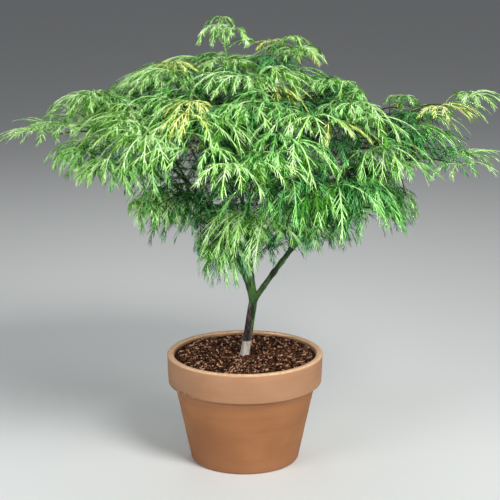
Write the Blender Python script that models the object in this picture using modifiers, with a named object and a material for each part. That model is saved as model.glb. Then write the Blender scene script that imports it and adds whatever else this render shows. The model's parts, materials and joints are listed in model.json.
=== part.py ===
"""A laceleaf maple in a clay pot: pot, potting bark, trunk, boughs and weeping masses of leaves.

Metres, +Z up. The origin is the middle of the pot's underside, +X is to the right and +Y to the back.
"""

import math
import random
from collections import namedtuple

import bmesh
import bpy
import numpy as np
from mathutils import Vector

# Pot
POT_HEIGHT = 0.212
RIM_RADIUS = 0.150
RIM_BAND_HEIGHT = 0.058
RIM_BAND_TAPER = 0.0025
RIM_BAND_LIP = 0.0115
BASE_RADIUS = 0.104
WALL = 0.0125
FLOOR = 0.016
EDGE = 0.003
TURNED_STEPS = 44
DRAIN_HOLES = 3
DRAIN_RADIUS = 0.008
DRAIN_CIRCLE_RADIUS = 0.055

# Potting bark
BARK_BELOW_RIM = 0.0125
BARK_MOUND = 0.006

# Fits between solids
GAP = 0.0003
CLEAR_OF_LIMB = 0.003
CLEAR_OF_TWIG = 0.006
CLEAR_OF_LEAF = 0.002
SIBLING_LEAVES = -0.0015

# Trunk
TRUNK_FOOT = Vector((0.0, 0.0, POT_HEIGHT - BARK_BELOW_RIM + BARK_MOUND + GAP))
TRUNK_TOP = Vector((0.0176, 0.004, 0.3225))
TRUNK_FOOT_RADIUS = 0.0108
TRUNK_RADIUS = 0.0090
TRUNK_TOP_RADIUS = 0.0066
FLARE_HEIGHT = 0.012

# Twigs and leaves
STEM_SOCKET = 0.003
STEM_TIP_RADIUS = 0.0016
SHOOT_RADIUS = 0.0015
PETIOLE_RADIUS = 0.0012
PETIOLE = 0.036
LEAF_LENGTH = 0.116
LOBE_MIDDLE = 0.46
LOBE_HALF_WIDTH = 0.0102
LEAF_HEART = 0.013
LEAF_THICKNESS = 0.0026
LOBES = ((-92, 0.66), (-45, 0.92), (0, 1.0), (45, 0.92), (92, 0.66))
LOBE_START_ANGLE = 16
LOBE_END_ANGLE = -78
SHOOT_NODES = (0.36, 0.70)
SHOOT_LENGTH = 0.115
SHOOT_SPREAD = 58
TIP_FAN = (0, -72, 72)
TRIES = ((0, 1.0), (24, 0.96), (-24, 0.96), (0, 0.84), (40, 0.80), (-40, 0.80), (0, 0.66))

# A limb runs in one curve from its parent to the end of its mass. along is the share of the
# parent's bare length where it leaves. azimuth (degrees from +X towards +Y), reach (from the
# axis of the pot) and height place its end. bare is the share of it that is bough. spread is
# how far it turns from its parent at first, arch how far it rises over the straight line and
# leaf the size of its leaves.
Limb = namedtuple("Limb", "name parent along azimuth reach height bare radius spread arch leaf")
LIMBS = (
    Limb("left", "trunk", 0.84, 179, 0.362, 0.628, 0.42, 0.0050, 0.35, 0.060, 0.94),
    Limb("right", "trunk", 0.90, 357, 0.388, 0.582, 0.42, 0.0056, 0.70, 0.050, 1.00),
    Limb("leader", "trunk", 1.0, 163, 0.042, 0.838, 0.74, 0.0056, 0.30, -0.020, 0.66),
    Limb("low_front", "leader", 0.16, 290, 0.085, 0.486, 0.40, 0.0026, 0.80, 0.015, 0.96),
    Limb("low_back", "leader", 0.26, 84, 0.215, 0.520, 0.45, 0.0030, 0.70, 0.030, 1.00),
    Limb("front", "leader", 0.38, 266, 0.285, 0.615, 0.45, 0.0034, 0.60, 0.045, 1.00),
    Limb("back", "leader", 0.44, 92, 0.330, 0.610, 0.45, 0.0034, 0.60, 0.045, 1.00),
    Limb("back_left", "leader", 0.52, 133, 0.335, 0.624, 0.50, 0.0033, 0.60, 0.050, 1.00),
    Limb("back_right", "leader", 0.58, 50, 0.335, 0.628, 0.50, 0.0033, 0.60, 0.050, 1.00),
    Limb("upper_front", "leader", 0.62, 250, 0.170, 0.688, 0.45, 0.0030, 0.60, 0.030, 0.90),
    Limb("high_right", "leader", 0.68, 10, 0.195, 0.694, 0.45, 0.0028, 0.70, 0.035, 0.86),
    Limb("top_left", "leader", 0.76, 168, 0.148, 0.732, 0.42, 0.0028, 0.70, 0.030, 0.82),
    Limb("top_front", "leader", 0.83, 292, 0.080, 0.738, 0.42, 0.0026, 0.70, 0.020, 0.80),
    Limb("top_right", "leader", 0.87, 34, 0.108, 0.772, 0.42, 0.0026, 0.70, 0.020, 0.72),
    Limb("top_back", "leader", 0.92, 100, 0.140, 0.736, 0.42, 0.0026, 0.70, 0.025, 0.84),
    Limb("front_left", "left", 0.40, 236, 0.262, 0.662, 0.45, 0.0032, 0.70, 0.040, 0.96),
    Limb("inner_left", "left", 0.24, 196, 0.072, 0.424, 0.40, 0.0022, 0.90, 0.012, 0.56),
    Limb("low_left", "left", 0.52, 162, 0.190, 0.488, 0.45, 0.0026, 0.90, 0.022, 1.00),
    Limb("mid_left", "left", 0.72, 207, 0.300, 0.586, 0.40, 0.0028, 0.70, 0.030, 0.96),
    Limb("high_left", "left", 0.84, 158, 0.284, 0.680, 0.35, 0.0026, 0.60, 0.030, 0.84),
    Limb("front_right", "right", 0.32, 309, 0.235, 0.560, 0.45, 0.0030, 0.80, 0.030, 1.04),
    Limb("shoulder", "right", 0.44, 300, 0.225, 0.680, 0.45, 0.0030, 0.40, 0.030, 0.94),
    Limb("low_right", "right", 0.60, 342, 0.265, 0.504, 0.42, 0.0024, 0.90, 0.020, 0.98),
    Limb("mid_right", "right", 0.70, 328, 0.275, 0.624, 0.42, 0.0030, 0.60, 0.030, 0.96),
    Limb("upper_right", "right", 0.80, 26, 0.335, 0.664, 0.42, 0.0030, 0.50, 0.030, 0.90),
    Limb("far_right", "right", 0.84, 13, 0.395, 0.676, 0.35, 0.0028, 0.60, 0.030, 0.90),
)
MAIN_LIMB_POINTS = 13
LIMB_POINTS = 9
FORK_SHARE = 0.17
SEED = 41

CLAY = ("clay", (0.56, 0.26, 0.12), 0.85)
BARK_CHIPS = ("bark_chips", (0.09, 0.04, 0.025), 0.95)
BARK = ("bark", (0.13, 0.11, 0.07), 0.85)
LEAVES = ("leaves", (0.26, 0.50, 0.13), 0.6)


def clear_scene():
    for obj in list(bpy.data.objects):
        bpy.data.objects.remove(obj, do_unlink=True)


def new_collection(name):
    collection = bpy.data.collections.new(name)
    bpy.context.scene.collection.children.link(collection)
    return collection


def material(finish):
    """The material of a finish, made the first time that it is asked for."""
    name, colour, roughness = finish
    found = bpy.data.materials.get(name)
    if found:
        return found
    made = bpy.data.materials.new(name)
    made.use_nodes = True
    shader = made.node_tree.nodes["Principled BSDF"]
    shader.inputs["Base Color"].default_value = (*colour, 1.0)
    shader.inputs["Roughness"].default_value = roughness
    shader.inputs["Metallic"].default_value = 0.0
    return made


def add_object(name, data, collection):
    obj = bpy.data.objects.new(name, data)
    collection.objects.link(obj)
    return obj


def evaluated_mesh(obj):
    """A welded mesh of what the viewport shows of obj."""
    graph = bpy.context.evaluated_depsgraph_get()
    mesh = bpy.data.meshes.new_from_object(obj.evaluated_get(graph))
    shape = bmesh.new()
    shape.from_mesh(mesh)
    bmesh.ops.remove_doubles(shape, verts=shape.verts, dist=1e-6)
    bmesh.ops.recalc_face_normals(shape, faces=shape.faces)
    shape.to_mesh(mesh)
    shape.free()
    return mesh


# Pot and potting bark


def turned(name, profile, finish, collection):
    """A profile of (radius, height) pairs turned about the pot's axis."""
    mesh = bpy.data.meshes.new(name)
    points = [(radius, 0.0, height) for radius, height in profile]
    mesh.from_pydata(points, [(i, i + 1) for i in range(len(points) - 1)], [])
    obj = add_object(name, mesh, collection)
    obj.data.materials.append(material(finish))
    screw = obj.modifiers.new("turn", "SCREW")
    screw.steps = TURNED_STEPS
    screw.render_steps = TURNED_STEPS
    screw.use_merge_vertices = True
    screw.merge_threshold = 0.00005
    screw.use_smooth_shade = True
    return obj


def body_radius(height):
    """Outer radius of the pot's tapered body, which runs on behind the rim band."""
    share = height / (POT_HEIGHT - RIM_BAND_HEIGHT)
    return BASE_RADIUS + (RIM_RADIUS - RIM_BAND_TAPER - RIM_BAND_LIP - BASE_RADIUS) * share


def inner_radius(height):
    """Radius of the pot's inside, which is straight from the floor to the brim."""
    low, high = body_radius(FLOOR) - WALL, RIM_RADIUS - WALL
    return low + (high - low) * (height - FLOOR) / (POT_HEIGHT - FLOOR)


def make_pot(collection, cutters):
    band = POT_HEIGHT - RIM_BAND_HEIGHT
    band_radius = RIM_RADIUS - RIM_BAND_TAPER
    profile = (
        (0.0, FLOOR),
        (inner_radius(FLOOR), FLOOR),
        (inner_radius(POT_HEIGHT - EDGE), POT_HEIGHT - EDGE),
        (inner_radius(POT_HEIGHT) + EDGE, POT_HEIGHT),
        (RIM_RADIUS - EDGE, POT_HEIGHT),
        (RIM_RADIUS, POT_HEIGHT - EDGE),
        (band_radius, band + EDGE),
        (band_radius - EDGE, band),
        (body_radius(band), band),
        (body_radius(EDGE), EDGE),
        (BASE_RADIUS - EDGE, 0.0),
        (0.0, 0.0),
    )
    pot = turned("pot", profile, CLAY, collection)
    for i in range(DRAIN_HOLES):
        angle = math.radians(90 + 360 / DRAIN_HOLES * i)
        place = (DRAIN_CIRCLE_RADIUS * math.cos(angle), DRAIN_CIRCLE_RADIUS * math.sin(angle))
        shape = bmesh.new()
        bmesh.ops.create_cone(
            shape,
            cap_ends=True,
            segments=16,
            radius1=DRAIN_RADIUS,
            radius2=DRAIN_RADIUS,
            depth=4 * FLOOR,
        )
        mesh = bpy.data.meshes.new(f"drain_cutter_{i + 1}")
        shape.to_mesh(mesh)
        shape.free()
        cutter = add_object(mesh.name, mesh, cutters)
        cutter.location = (*place, FLOOR / 2)
        cutter.hide_render = True
        cutter.display_type = "WIRE"
        hole = pot.modifiers.new(f"drain_{i + 1}", "BOOLEAN")
        hole.operation = "DIFFERENCE"
        hole.object = cutter
    return pot


def make_potting_bark(collection):
    """The filling: a plug that the pot holds, mounded a little towards the trunk."""
    floor = FLOOR + GAP
    edge = POT_HEIGHT - BARK_BELOW_RIM
    flat = 2 * TRUNK_FOOT_RADIUS
    profile = (
        (0.0, edge + BARK_MOUND),
        (flat, edge + BARK_MOUND),
        (0.5 * inner_radius(edge), edge + 0.7 * BARK_MOUND),
        (inner_radius(edge) - GAP, edge),
        (inner_radius(floor) - GAP, floor),
        (0.0, floor),
    )
    return turned("potting_bark", profile, BARK_CHIPS, collection)


# Limbs


def outward(azimuth):
    angle = math.radians(azimuth)
    return Vector((math.cos(angle), math.sin(angle), 0.0))


def bezier(a, b, c, d, t):
    s = 1.0 - t
    return a * s**3 + b * (3 * s * s * t) + c * (3 * s * t * t) + d * t**3


def points_of(limb):
    return MAIN_LIMB_POINTS if limb.parent == "trunk" else LIMB_POINTS


def route_of(limb, start, start_along):
    """Points from start to the limb's end: it climbs along its parent first, then arches out."""
    end = outward(limb.azimuth) * limb.reach + Vector((0.0, 0.0, limb.height))
    run = (end - start).length
    flat = Vector((end.x - start.x, end.y - start.y, 0.0))
    flat = flat.normalized() if flat.length > 1e-6 else Vector((1.0, 0.0, 0.0))
    leaving = (start_along + limb.spread * flat + Vector((0.0, 0.0, 0.25))).normalized()
    rise = Vector((0.0, 0.0, limb.arch))
    shoulder = start + leaving * (0.36 * run)
    elbow = end - flat * (0.34 * run) + rise
    if limb.arch < 0:
        elbow = end - Vector((0.0, 0.0, 0.4 * run)) + flat * limb.arch
    last = points_of(limb) - 1
    return [bezier(start, shoulder, elbow, end, i / last) for i in range(last + 1)]


def trunk_route():
    """Points up the leaning trunk. The first step is upright, so that the foot is cut level."""
    steps = MAIN_LIMB_POINTS - 1
    points = [TRUNK_FOOT.lerp(TRUNK_TOP, i / steps) for i in range(steps + 1)]
    points[1] = Vector((TRUNK_FOOT.x, TRUNK_FOOT.y, points[1].z))
    return points


def trunk_radii():
    """Root flare at the foot, an even shaft, then the taper into the fork."""
    length = (TRUNK_TOP - TRUNK_FOOT).length
    radii = []
    for i in range(MAIN_LIMB_POINTS):
        t = i / (MAIN_LIMB_POINTS - 1)
        flare = math.exp(-t * length / FLARE_HEIGHT) * (TRUNK_FOOT_RADIUS - TRUNK_RADIUS)
        taper = (TRUNK_RADIUS - TRUNK_TOP_RADIUS) * max(0.0, (t - 0.8) / 0.2)
        radii.append(TRUNK_RADIUS + flare - taper)
    return radii


def at_share(points, share):
    """The point and the direction at a share of a route's points."""
    place = share * (len(points) - 1)
    i = min(int(place), len(points) - 2)
    step = points[i + 1] - points[i]
    return points[i] + step * (place - i), step.normalized()


class Grown:
    """A limb with its route, its radii and the number of its route's points that are bare."""

    def __init__(self, name, points, radii, bare_points, limb=None):
        self.name = name
        self.points = points
        self.radii = radii
        self.bare_points = bare_points
        self.limb = limb

    def bare(self):
        return self.points[: self.bare_points], self.radii[: self.bare_points]

    def sides_level(self):
        """The bevel resolution of its tube: ten sides for the trunk, then eight, then six."""
        if self.limb is None:
            return 3
        return 2 if self.limb.parent == "trunk" else 1

    def leafy(self):
        return self.points[self.bare_points - 1 :], self.radii[self.bare_points - 1 :]


def grow_limbs():
    """Every limb's route, parents first."""
    grown = {"trunk": Grown("trunk", trunk_route(), trunk_radii(), MAIN_LIMB_POINTS)}
    for limb in LIMBS:
        parent = grown[limb.parent]
        points, _ = parent.bare()
        start, along = at_share(points, limb.along)
        route = route_of(limb, start, along)
        last = len(route) - 1
        bare_points = 1 + round(limb.bare * last)
        taper = (STEM_TIP_RADIUS - limb.radius) / last
        radii = [limb.radius + taper * i for i in range(last + 1)]
        grown[limb.name] = Grown(limb.name, route, radii, bare_points, limb)
    return grown


def tube(name, points, radii, collection, sides_level=1, profile=None):
    """A tapering tube with filled caps along points."""
    curve = bpy.data.curves.new(name, "CURVE")
    curve.dimensions = "3D"
    curve.use_fill_caps = True
    if profile:
        curve.bevel_mode = "OBJECT"
        curve.bevel_object = profile
    else:
        curve.bevel_depth = 1.0
        curve.bevel_resolution = sides_level
    spline = curve.splines.new("POLY")
    spline.points.add(len(points) - 1)
    for place, point, radius in zip(spline.points, points, radii):
        place.co = (*point, 1.0)
        place.radius = radius
    return add_object(name, curve, collection)


def solid_from_tube(name, points, radii, collection, sides_level):
    """The tube as a mesh object."""
    guide = tube(name + "_guide", points, radii, collection, sides_level)
    bpy.context.view_layer.update()
    mesh = evaluated_mesh(guide)
    curve = guide.data
    bpy.data.objects.remove(guide)
    bpy.data.curves.remove(curve)
    mesh.name = name
    return add_object(name, mesh, collection)


def apply_modifiers(obj):
    bpy.context.view_layer.update()
    graph = bpy.context.evaluated_depsgraph_get()
    mesh = bpy.data.meshes.new_from_object(obj.evaluated_get(graph))
    obj.modifiers.clear()
    old = obj.data
    obj.data = mesh
    bpy.data.meshes.remove(old)
    mesh.name = obj.name


def cut_clear(obj, other, cutters):
    """Cuts obj back to GAP from another limb, so that its foot fits that limb's side."""
    points, radii = other.bare()
    swollen = [radius + GAP for radius in radii]
    cutter = solid_from_tube(obj.name + "_cutter", points, swollen, cutters, other.sides_level())
    cut = obj.modifiers.new("foot", "BOOLEAN")
    cut.operation = "DIFFERENCE"
    cut.object = cutter
    apply_modifiers(obj)
    bpy.data.objects.remove(cutter)


def finish_limb(obj):
    obj.data.materials.clear()
    obj.data.materials.append(material(BARK))
    obj.data.shade_smooth()
    obj.data.set_sharp_from_angle(angle=math.radians(50))


def neighbours_at_fork(limb, grown):
    """The parent, and the limbs made before this one that leave the parent close to it."""
    found = [grown[limb.limb.parent]]
    for other in grown.values():
        if other is limb:
            break
        if other.limb and other.limb.parent == limb.limb.parent:
            if abs(other.limb.along - limb.limb.along) < FORK_SHARE:
                found.append(other)
    return found


def make_limbs(grown, collection, cutters):
    for name, limb in grown.items():
        points, radii = limb.bare()
        if name == "trunk":
            obj = solid_from_tube("trunk", points, radii, collection, limb.sides_level())
        else:
            starts_on_tip = limb.limb.along == 1.0
            if starts_on_tip:
                first = points[0] + (points[1] - points[0]).normalized() * GAP
                points = [first, *points[1:]]
            obj = solid_from_tube("bough_" + name, points, radii, collection, limb.sides_level())
            for other in neighbours_at_fork(limb, grown):
                cut_clear(obj, other, cutters)
            keep_largest(obj.data)
        finish_limb(obj)


# Foliage


class Skeleton:
    """Segments of limbs, stems and shoots, each with the number of the mass that owns it."""

    def __init__(self):
        self.starts, self.steps, self.owners, self.radii = [], [], [], []

    def add(self, points, owner, radius=0.0):
        for a, b in zip(points, points[1:]):
            self.starts.append(tuple(a))
            self.steps.append(tuple(b - a))
            self.owners.append(owner)
            self.radii.append(radius)

    def distances(self, points):
        """The distance of each point (rows) from each segment's side (columns)."""
        starts, steps = np.array(self.starts), np.array(self.steps)
        out = np.array([tuple(point) for point in points])[:, None, :] - starts[None]
        share = (out * steps).sum(2) / np.maximum((steps * steps).sum(1), 1e-12)
        out -= np.clip(share, 0.0, 1.0)[..., None] * steps
        return np.sqrt((out * out).sum(2)) - np.array(self.radii)


def clear_of(points, skeleton, gap, own=None, radii=0.0):
    """True if every point is over gap clear of the segments that own doesn't own."""
    if not skeleton.owners:
        return True
    gaps = skeleton.distances(points) - np.reshape(radii, (-1, 1))
    others = np.array(skeleton.owners) != own
    return not others.any() or bool(gaps[:, others].min() > gap)


def twig_route(start, direction, length, climb):
    """Three points of a side shoot that climbs a little and then levels out."""
    rise = Vector((0.0, 0.0, climb * length))
    return [
        start,
        start + direction * (0.5 * length) + rise,
        start + direction * length + rise,
    ]


def side_shoots(limb, rng):
    """Opposite pairs of side shoots along the leafy part of a limb."""
    points, _ = limb.leafy()
    run = sum((b - a).length for a, b in zip(points, points[1:]))
    shoots = []
    for node, share in enumerate(SHOOT_NODES):
        start, along = at_share(points, share)
        across = along.cross(Vector((0.0, 0.0, 1.0)))
        across = across.normalized() if across.length > 0.4 else outward(90 * node + 20)
        for side in (-1, 1):
            spread = math.radians(SHOOT_SPREAD + rng.uniform(-10, 10))
            direction = along * math.cos(spread) + across * (side * math.sin(spread))
            direction.z = max(direction.z, -0.05) * 0.6
            length = SHOOT_LENGTH * min(1.0, run / 0.16) * (1.15 - 0.35 * node)
            length *= rng.uniform(0.85, 1.15)
            shoots.append(twig_route(start, direction.normalized(), length, rng.uniform(0.1, 0.28)))
    return shoots


def leaf_places(limb, shoots, rng):
    """(foot, direction, stalk) of each leaf: a fan at the limb's end, and two on each shoot."""
    points, _ = limb.leafy()
    tip, along = at_share(points, 0.985)
    flat = Vector((along.x, along.y, 0.0))
    flat = flat.normalized() if flat.length > 0.25 else outward(limb.limb.azimuth)
    across = flat.cross(Vector((0.0, 0.0, 1.0)))
    places = []
    for angle in TIP_FAN:
        turn = math.radians(angle + rng.uniform(-8, 8))
        heading = flat * math.cos(turn) + across * math.sin(turn)
        direction = (heading + Vector((0, 0, rng.uniform(0.3, 0.55)))).normalized()
        places.append((tip, direction, PETIOLE * limb.limb.leaf))
    for route in shoots:
        places.append((route[-1], (route[-1] - route[-2]).normalized(), 0.0))
    for number, route in enumerate(shoots):
        aside = turn_flat(route[1] - route[0], rng.uniform(50, 80) * (1 if number % 2 else -1))
        direction = (aside.normalized() + Vector((0, 0, rng.uniform(0.3, 0.55)))).normalized()
        places.append((route[1], direction, PETIOLE * limb.limb.leaf))
    return places


def lobe_curve(heart, heading, length, start_angle, end_angle, share):
    """The point at a share of a lobe that leaves the leaf's heart and droops along an arc."""
    steps = 8
    point = heart.copy()
    for i in range(steps):
        s = (i + 0.5) / steps * share
        angle = math.radians(start_angle + (end_angle - start_angle) * s**0.85)
        move = heading * math.cos(angle) + Vector((0.0, 0.0, math.sin(angle)))
        point += move * (length * share / steps)
    return point


def turn_flat(vector, degrees):
    angle = math.radians(degrees)
    c, s = math.cos(angle), math.sin(angle)
    return Vector((vector.x * c - vector.y * s, vector.x * s + vector.y * c, 0.0))


def leaf_points(heart, heading, size, droop):
    """Corners of one leaf: (top, underside, valleys, lobes), a lobe being (left, ridge, right, tip)."""
    half = Vector((0.0, 0.0, 0.5 * LEAF_THICKNESS))
    lobes, valleys = [], []
    width = LOBE_HALF_WIDTH * (0.5 + 0.5 * size)
    for i, (turn, share) in enumerate(LOBES):
        out = turn_flat(heading, turn)
        length = LEAF_LENGTH * share * size
        middle = lobe_curve(heart, out, length, LOBE_START_ANGLE - droop, LOBE_END_ANGLE, LOBE_MIDDLE)
        tip = lobe_curve(heart, out, length, LOBE_START_ANGLE - droop, LOBE_END_ANGLE, 1.0)
        across = turn_flat(out, 90) * width
        lift = (middle - heart).cross(across).normalized()
        lift = lift if lift.z > 0 else -lift
        lobes.append((middle - across, middle + lift * LEAF_THICKNESS, middle + across, tip))
        if i:
            between = turn_flat(heading, 0.5 * (turn + LOBES[i - 1][0]))
            valleys.append(heart + between * (LEAF_HEART * size))
    back = heart - heading * (0.35 * LEAF_HEART * size)
    return heart + half, heart - half, [back, *valleys, back], lobes


def leaf_mesh(name, corners):
    """One closed blade round a thin heart. Its lobes have a ridge on top and a flat underside,
    and the two backmost ones are plain rays."""
    top, underside, valleys, lobes = corners
    shape = bmesh.new()
    t, u = shape.verts.new(top), shape.verts.new(underside)
    rim = [shape.verts.new(v) for v in valleys[:-1]]
    rim.append(rim[0])
    for i, lobe in enumerate(lobes):
        low, high = rim[i], rim[i + 1]
        if i in (0, len(lobes) - 1):
            ridge, tip = shape.verts.new(lobe[1]), shape.verts.new(lobe[3])
            faces = ((t, low, ridge), (t, ridge, high), (low, tip, ridge), (ridge, tip, high))
            faces += ((u, high, low), (low, high, tip))
        else:
            left, ridge, right, tip = (shape.verts.new(v) for v in lobe)
            faces = ((t, low, left), (t, left, ridge), (t, ridge, right), (t, right, high))
            faces += ((left, tip, ridge), (ridge, tip, right))
            faces += ((u, left, low), (u, right, left), (u, high, right), (left, right, tip))
        for corners_of_face in faces:
            shape.faces.new(corners_of_face)
    bmesh.ops.recalc_face_normals(shape, faces=shape.faces)
    mesh = bpy.data.meshes.new(name)
    shape.to_mesh(mesh)
    shape.free()
    return mesh


LOBE_WIDTHS = ((0.25, 0.3), (0.5, 0.5), (0.75, 0.65), (1.0, 0.75))
TIP_WIDTHS = ((0.25, 0.65), (0.5, 0.45), (0.75, 0.25), (1.0, 0.1))


def samples_of(corners):
    """(points, radii) along the lobes of a leaf, for the tests of its space."""
    top, _, _, lobes = corners
    points, radii = [top], [0.004]
    for left, ridge, right, tip in lobes:
        half_width = 0.5 * (right - left).length
        for share, width in LOBE_WIDTHS:
            points.append(top.lerp(ridge, share))
            radii.append(half_width * width)
        for share, width in TIP_WIDTHS:
            points.append(ridge.lerp(tip, share))
            radii.append(half_width * width)
    return points, radii


def claim_leaf(foot, corners, taken, own):
    """Adds a leaf's stalk and lobes to the space that is taken."""
    top, _, _, lobes = corners
    if (top - foot).length > CLEAR_OF_TWIG:
        taken.add([foot, top], own, PETIOLE_RADIUS)
    for left, ridge, right, tip in lobes:
        half_width = 0.5 * (right - left).length
        taken.add([top, ridge], own, 0.7 * half_width)
        taken.add([ridge, tip], own, 0.5 * half_width)


def along_line(a, b, count):
    return [a.lerp(b, (i + 1) / count) for i in range(count)]


def keep_largest(mesh):
    """Drops loose scraps and sealed hollows that a Boolean leaves."""
    shape = bmesh.new()
    shape.from_mesh(mesh)
    unseen = set(shape.verts)
    islands = []
    while unseen:
        front = [unseen.pop()]
        island = list(front)
        while front:
            vert = front.pop()
            for edge in vert.link_edges:
                other = edge.other_vert(vert)
                if other in unseen:
                    unseen.discard(other)
                    island.append(other)
                    front.append(other)
        islands.append(island)
    if len(islands) > 1:
        islands.sort(key=extent_of, reverse=True)
        scraps = [vert for island in islands[1:] for vert in island]
        bmesh.ops.delete(shape, geom=scraps, context="VERTS")
        shape.to_mesh(mesh)
    shape.free()


def extent_of(island):
    lows = [min(vert.co[axis] for vert in island) for axis in range(3)]
    highs = [max(vert.co[axis] for vert in island) for axis in range(3)]
    return sum(high - low for low, high in zip(lows, highs))


def plan_shoots(limb, own, twigs, limbs, rng):
    """The side shoots of a mass that keep to its space, clear of every limb."""
    kept = []
    for route in side_shoots(limb, rng):
        checks = along_line(route[0], route[1], 3)[1:] + along_line(route[1], route[2], 3)
        free = clear_of(checks, twigs, 3 * CLEAR_OF_TWIG, own)
        if free and clear_of(checks, limbs, CLEAR_OF_LIMB):
            kept.append(route)
            twigs.add(route, own)
    return kept


def plan_leaf(place, scale, own, space, rng):
    """(stalk, corners) of a leaf turned or shrunk to keep to its space, or None."""
    foot, direction, stalk = place
    twigs, limbs, taken = space
    droop = rng.uniform(0, 16)
    growth = scale * rng.uniform(0.92, 1.08)
    for turn, shrink in TRIES:
        heading = turn_flat(direction, turn).normalized()
        level = heading * math.hypot(direction.x, direction.y)
        heart = foot + (level + Vector((0.0, 0.0, direction.z))) * (stalk * shrink)
        corners = leaf_points(heart, heading, growth * shrink, droop)
        points, radii = samples_of(corners)
        if (
            clear_of(points, limbs, CLEAR_OF_LIMB, None, radii)
            and clear_of(points, twigs, CLEAR_OF_TWIG, own, radii)
            and clear_of(points, taken, CLEAR_OF_LEAF, own, radii)
            and clear_of(points, taken, SIBLING_LEAVES, None, radii)
            and clear_of([heart, foot.lerp(heart, 0.5)], taken, CLEAR_OF_TWIG, own)
        ):
            claim_leaf(foot, corners, taken, own)
            return [foot, heart], corners
    return None


def make_mass(limb, shoots, leaves, collection, parts, profile):
    """The stem, shoots, stalks and leaves of one mass, fused into one solid."""
    points, radii = limb.leafy()
    before = limb.bare()[0][-2]
    onward = (points[0] - before).normalized()
    points = [points[0] + onward * GAP, points[0] + onward * STEM_SOCKET, *points[1:]]
    radii = [radii[0], *radii]
    mass = solid_from_tube("mass_" + limb.name, points, radii, collection, 0)
    tubes = [(route, [SHOOT_RADIUS, SHOOT_RADIUS * 0.95, SHOOT_RADIUS * 0.9]) for route in shoots]
    for (foot, heart), _ in leaves:
        if (heart - foot).length > GAP:
            tubes.append(([foot, heart], [PETIOLE_RADIUS, PETIOLE_RADIUS * 0.9]))
    guides = [
        tube(f"{limb.name}_twig_{i}", route, sizes, parts, 0, profile)
        for i, (route, sizes) in enumerate(tubes)
    ]
    bpy.context.view_layer.update()
    for guide in guides:
        add_object(guide.name + "_solid", evaluated_mesh(guide), parts)
        curve = guide.data
        bpy.data.objects.remove(guide)
        bpy.data.curves.remove(curve)
    for i, (_, corners) in enumerate(leaves):
        add_object(f"{limb.name}_leaf_{i}", leaf_mesh(f"{limb.name}_leaf_{i}", corners), parts)
    union = mass.modifiers.new("fuse", "BOOLEAN")
    union.operation = "UNION"
    union.operand_type = "COLLECTION"
    union.collection = parts
    union.solver = "MANIFOLD"
    apply_modifiers(mass)
    for part in list(parts.objects):
        mesh = part.data
        bpy.data.objects.remove(part)
        bpy.data.meshes.remove(mesh)
    keep_largest(mass.data)
    mass.data.materials.clear()
    mass.data.materials.append(material(LEAVES))
    return mass


def twig_profile(cutters):
    """The three-cornered section of the twigs, as a helper curve."""
    curve = bpy.data.curves.new("twig_section", "CURVE")
    curve.dimensions = "2D"
    spline = curve.splines.new("POLY")
    spline.points.add(2)
    for i, place in enumerate(spline.points):
        angle = math.radians(90 + 120 * i)
        place.co = (math.cos(angle), math.sin(angle), 0.0, 1.0)
    spline.use_cyclic_u = True
    profile = add_object("twig_section", curve, cutters)
    profile.hide_render = True
    profile.display_type = "WIRE"
    return profile


def plan_foliage(leafy, limbs):
    """The shoots and the leaves of every mass. They take turns, so that each has its share."""
    twigs, taken = Skeleton(), Skeleton()
    for own, limb in enumerate(leafy):
        twigs.add(limb.leafy()[0], own)
    shoots, places, rngs = [], [], []
    for own, limb in enumerate(leafy):
        rng = random.Random(f"{SEED} {limb.name}")
        shoots.append(plan_shoots(limb, own, twigs, limbs, rng))
        places.append(leaf_places(limb, shoots[own], rng))
        rngs.append(rng)
    leaves = [[] for _ in leafy]
    for turn in range(max(len(found) for found in places)):
        for own, found in enumerate(places):
            if turn < len(found):
                scale = leafy[own].limb.leaf
                leaf = plan_leaf(found[turn], scale, own, (twigs, limbs, taken), rngs[own])
                if leaf:
                    leaves[own].append(leaf)
    return shoots, leaves


def make_foliage(grown, collection, cutters, parts):
    """Plans every mass before it makes any, so that each keeps clear of the others."""
    leafy = [limb for limb in grown.values() if limb.limb]
    limbs = Skeleton()
    for number, limb in enumerate(grown.values()):
        points, radii = limb.bare()
        limbs.add(points, number, max(radii[1:]))
    shoots, leaves = plan_foliage(leafy, limbs)
    profile = twig_profile(cutters)
    for own, limb in enumerate(leafy):
        make_mass(limb, shoots[own], leaves[own], collection, parts, profile)


def main():
    clear_scene()
    collection = new_collection("potted_laceleaf_maple")
    cutters = new_collection("cutters")
    parts = new_collection("parts_to_fuse")
    make_pot(collection, cutters)
    make_potting_bark(collection)
    grown = grow_limbs()
    make_limbs(grown, collection, cutters)
    make_foliage(grown, collection, cutters, parts)


main()
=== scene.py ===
"""Looks of a laceleaf maple in a clay pot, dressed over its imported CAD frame.

The wood and the foliage grow by the same table of limbs as the solids, carried to finer twigs.
Every new piece is a surface worked out with numpy. Metres, +Z up, origin under the pot.
"""

import json
import math
import random
from collections import namedtuple

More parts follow.
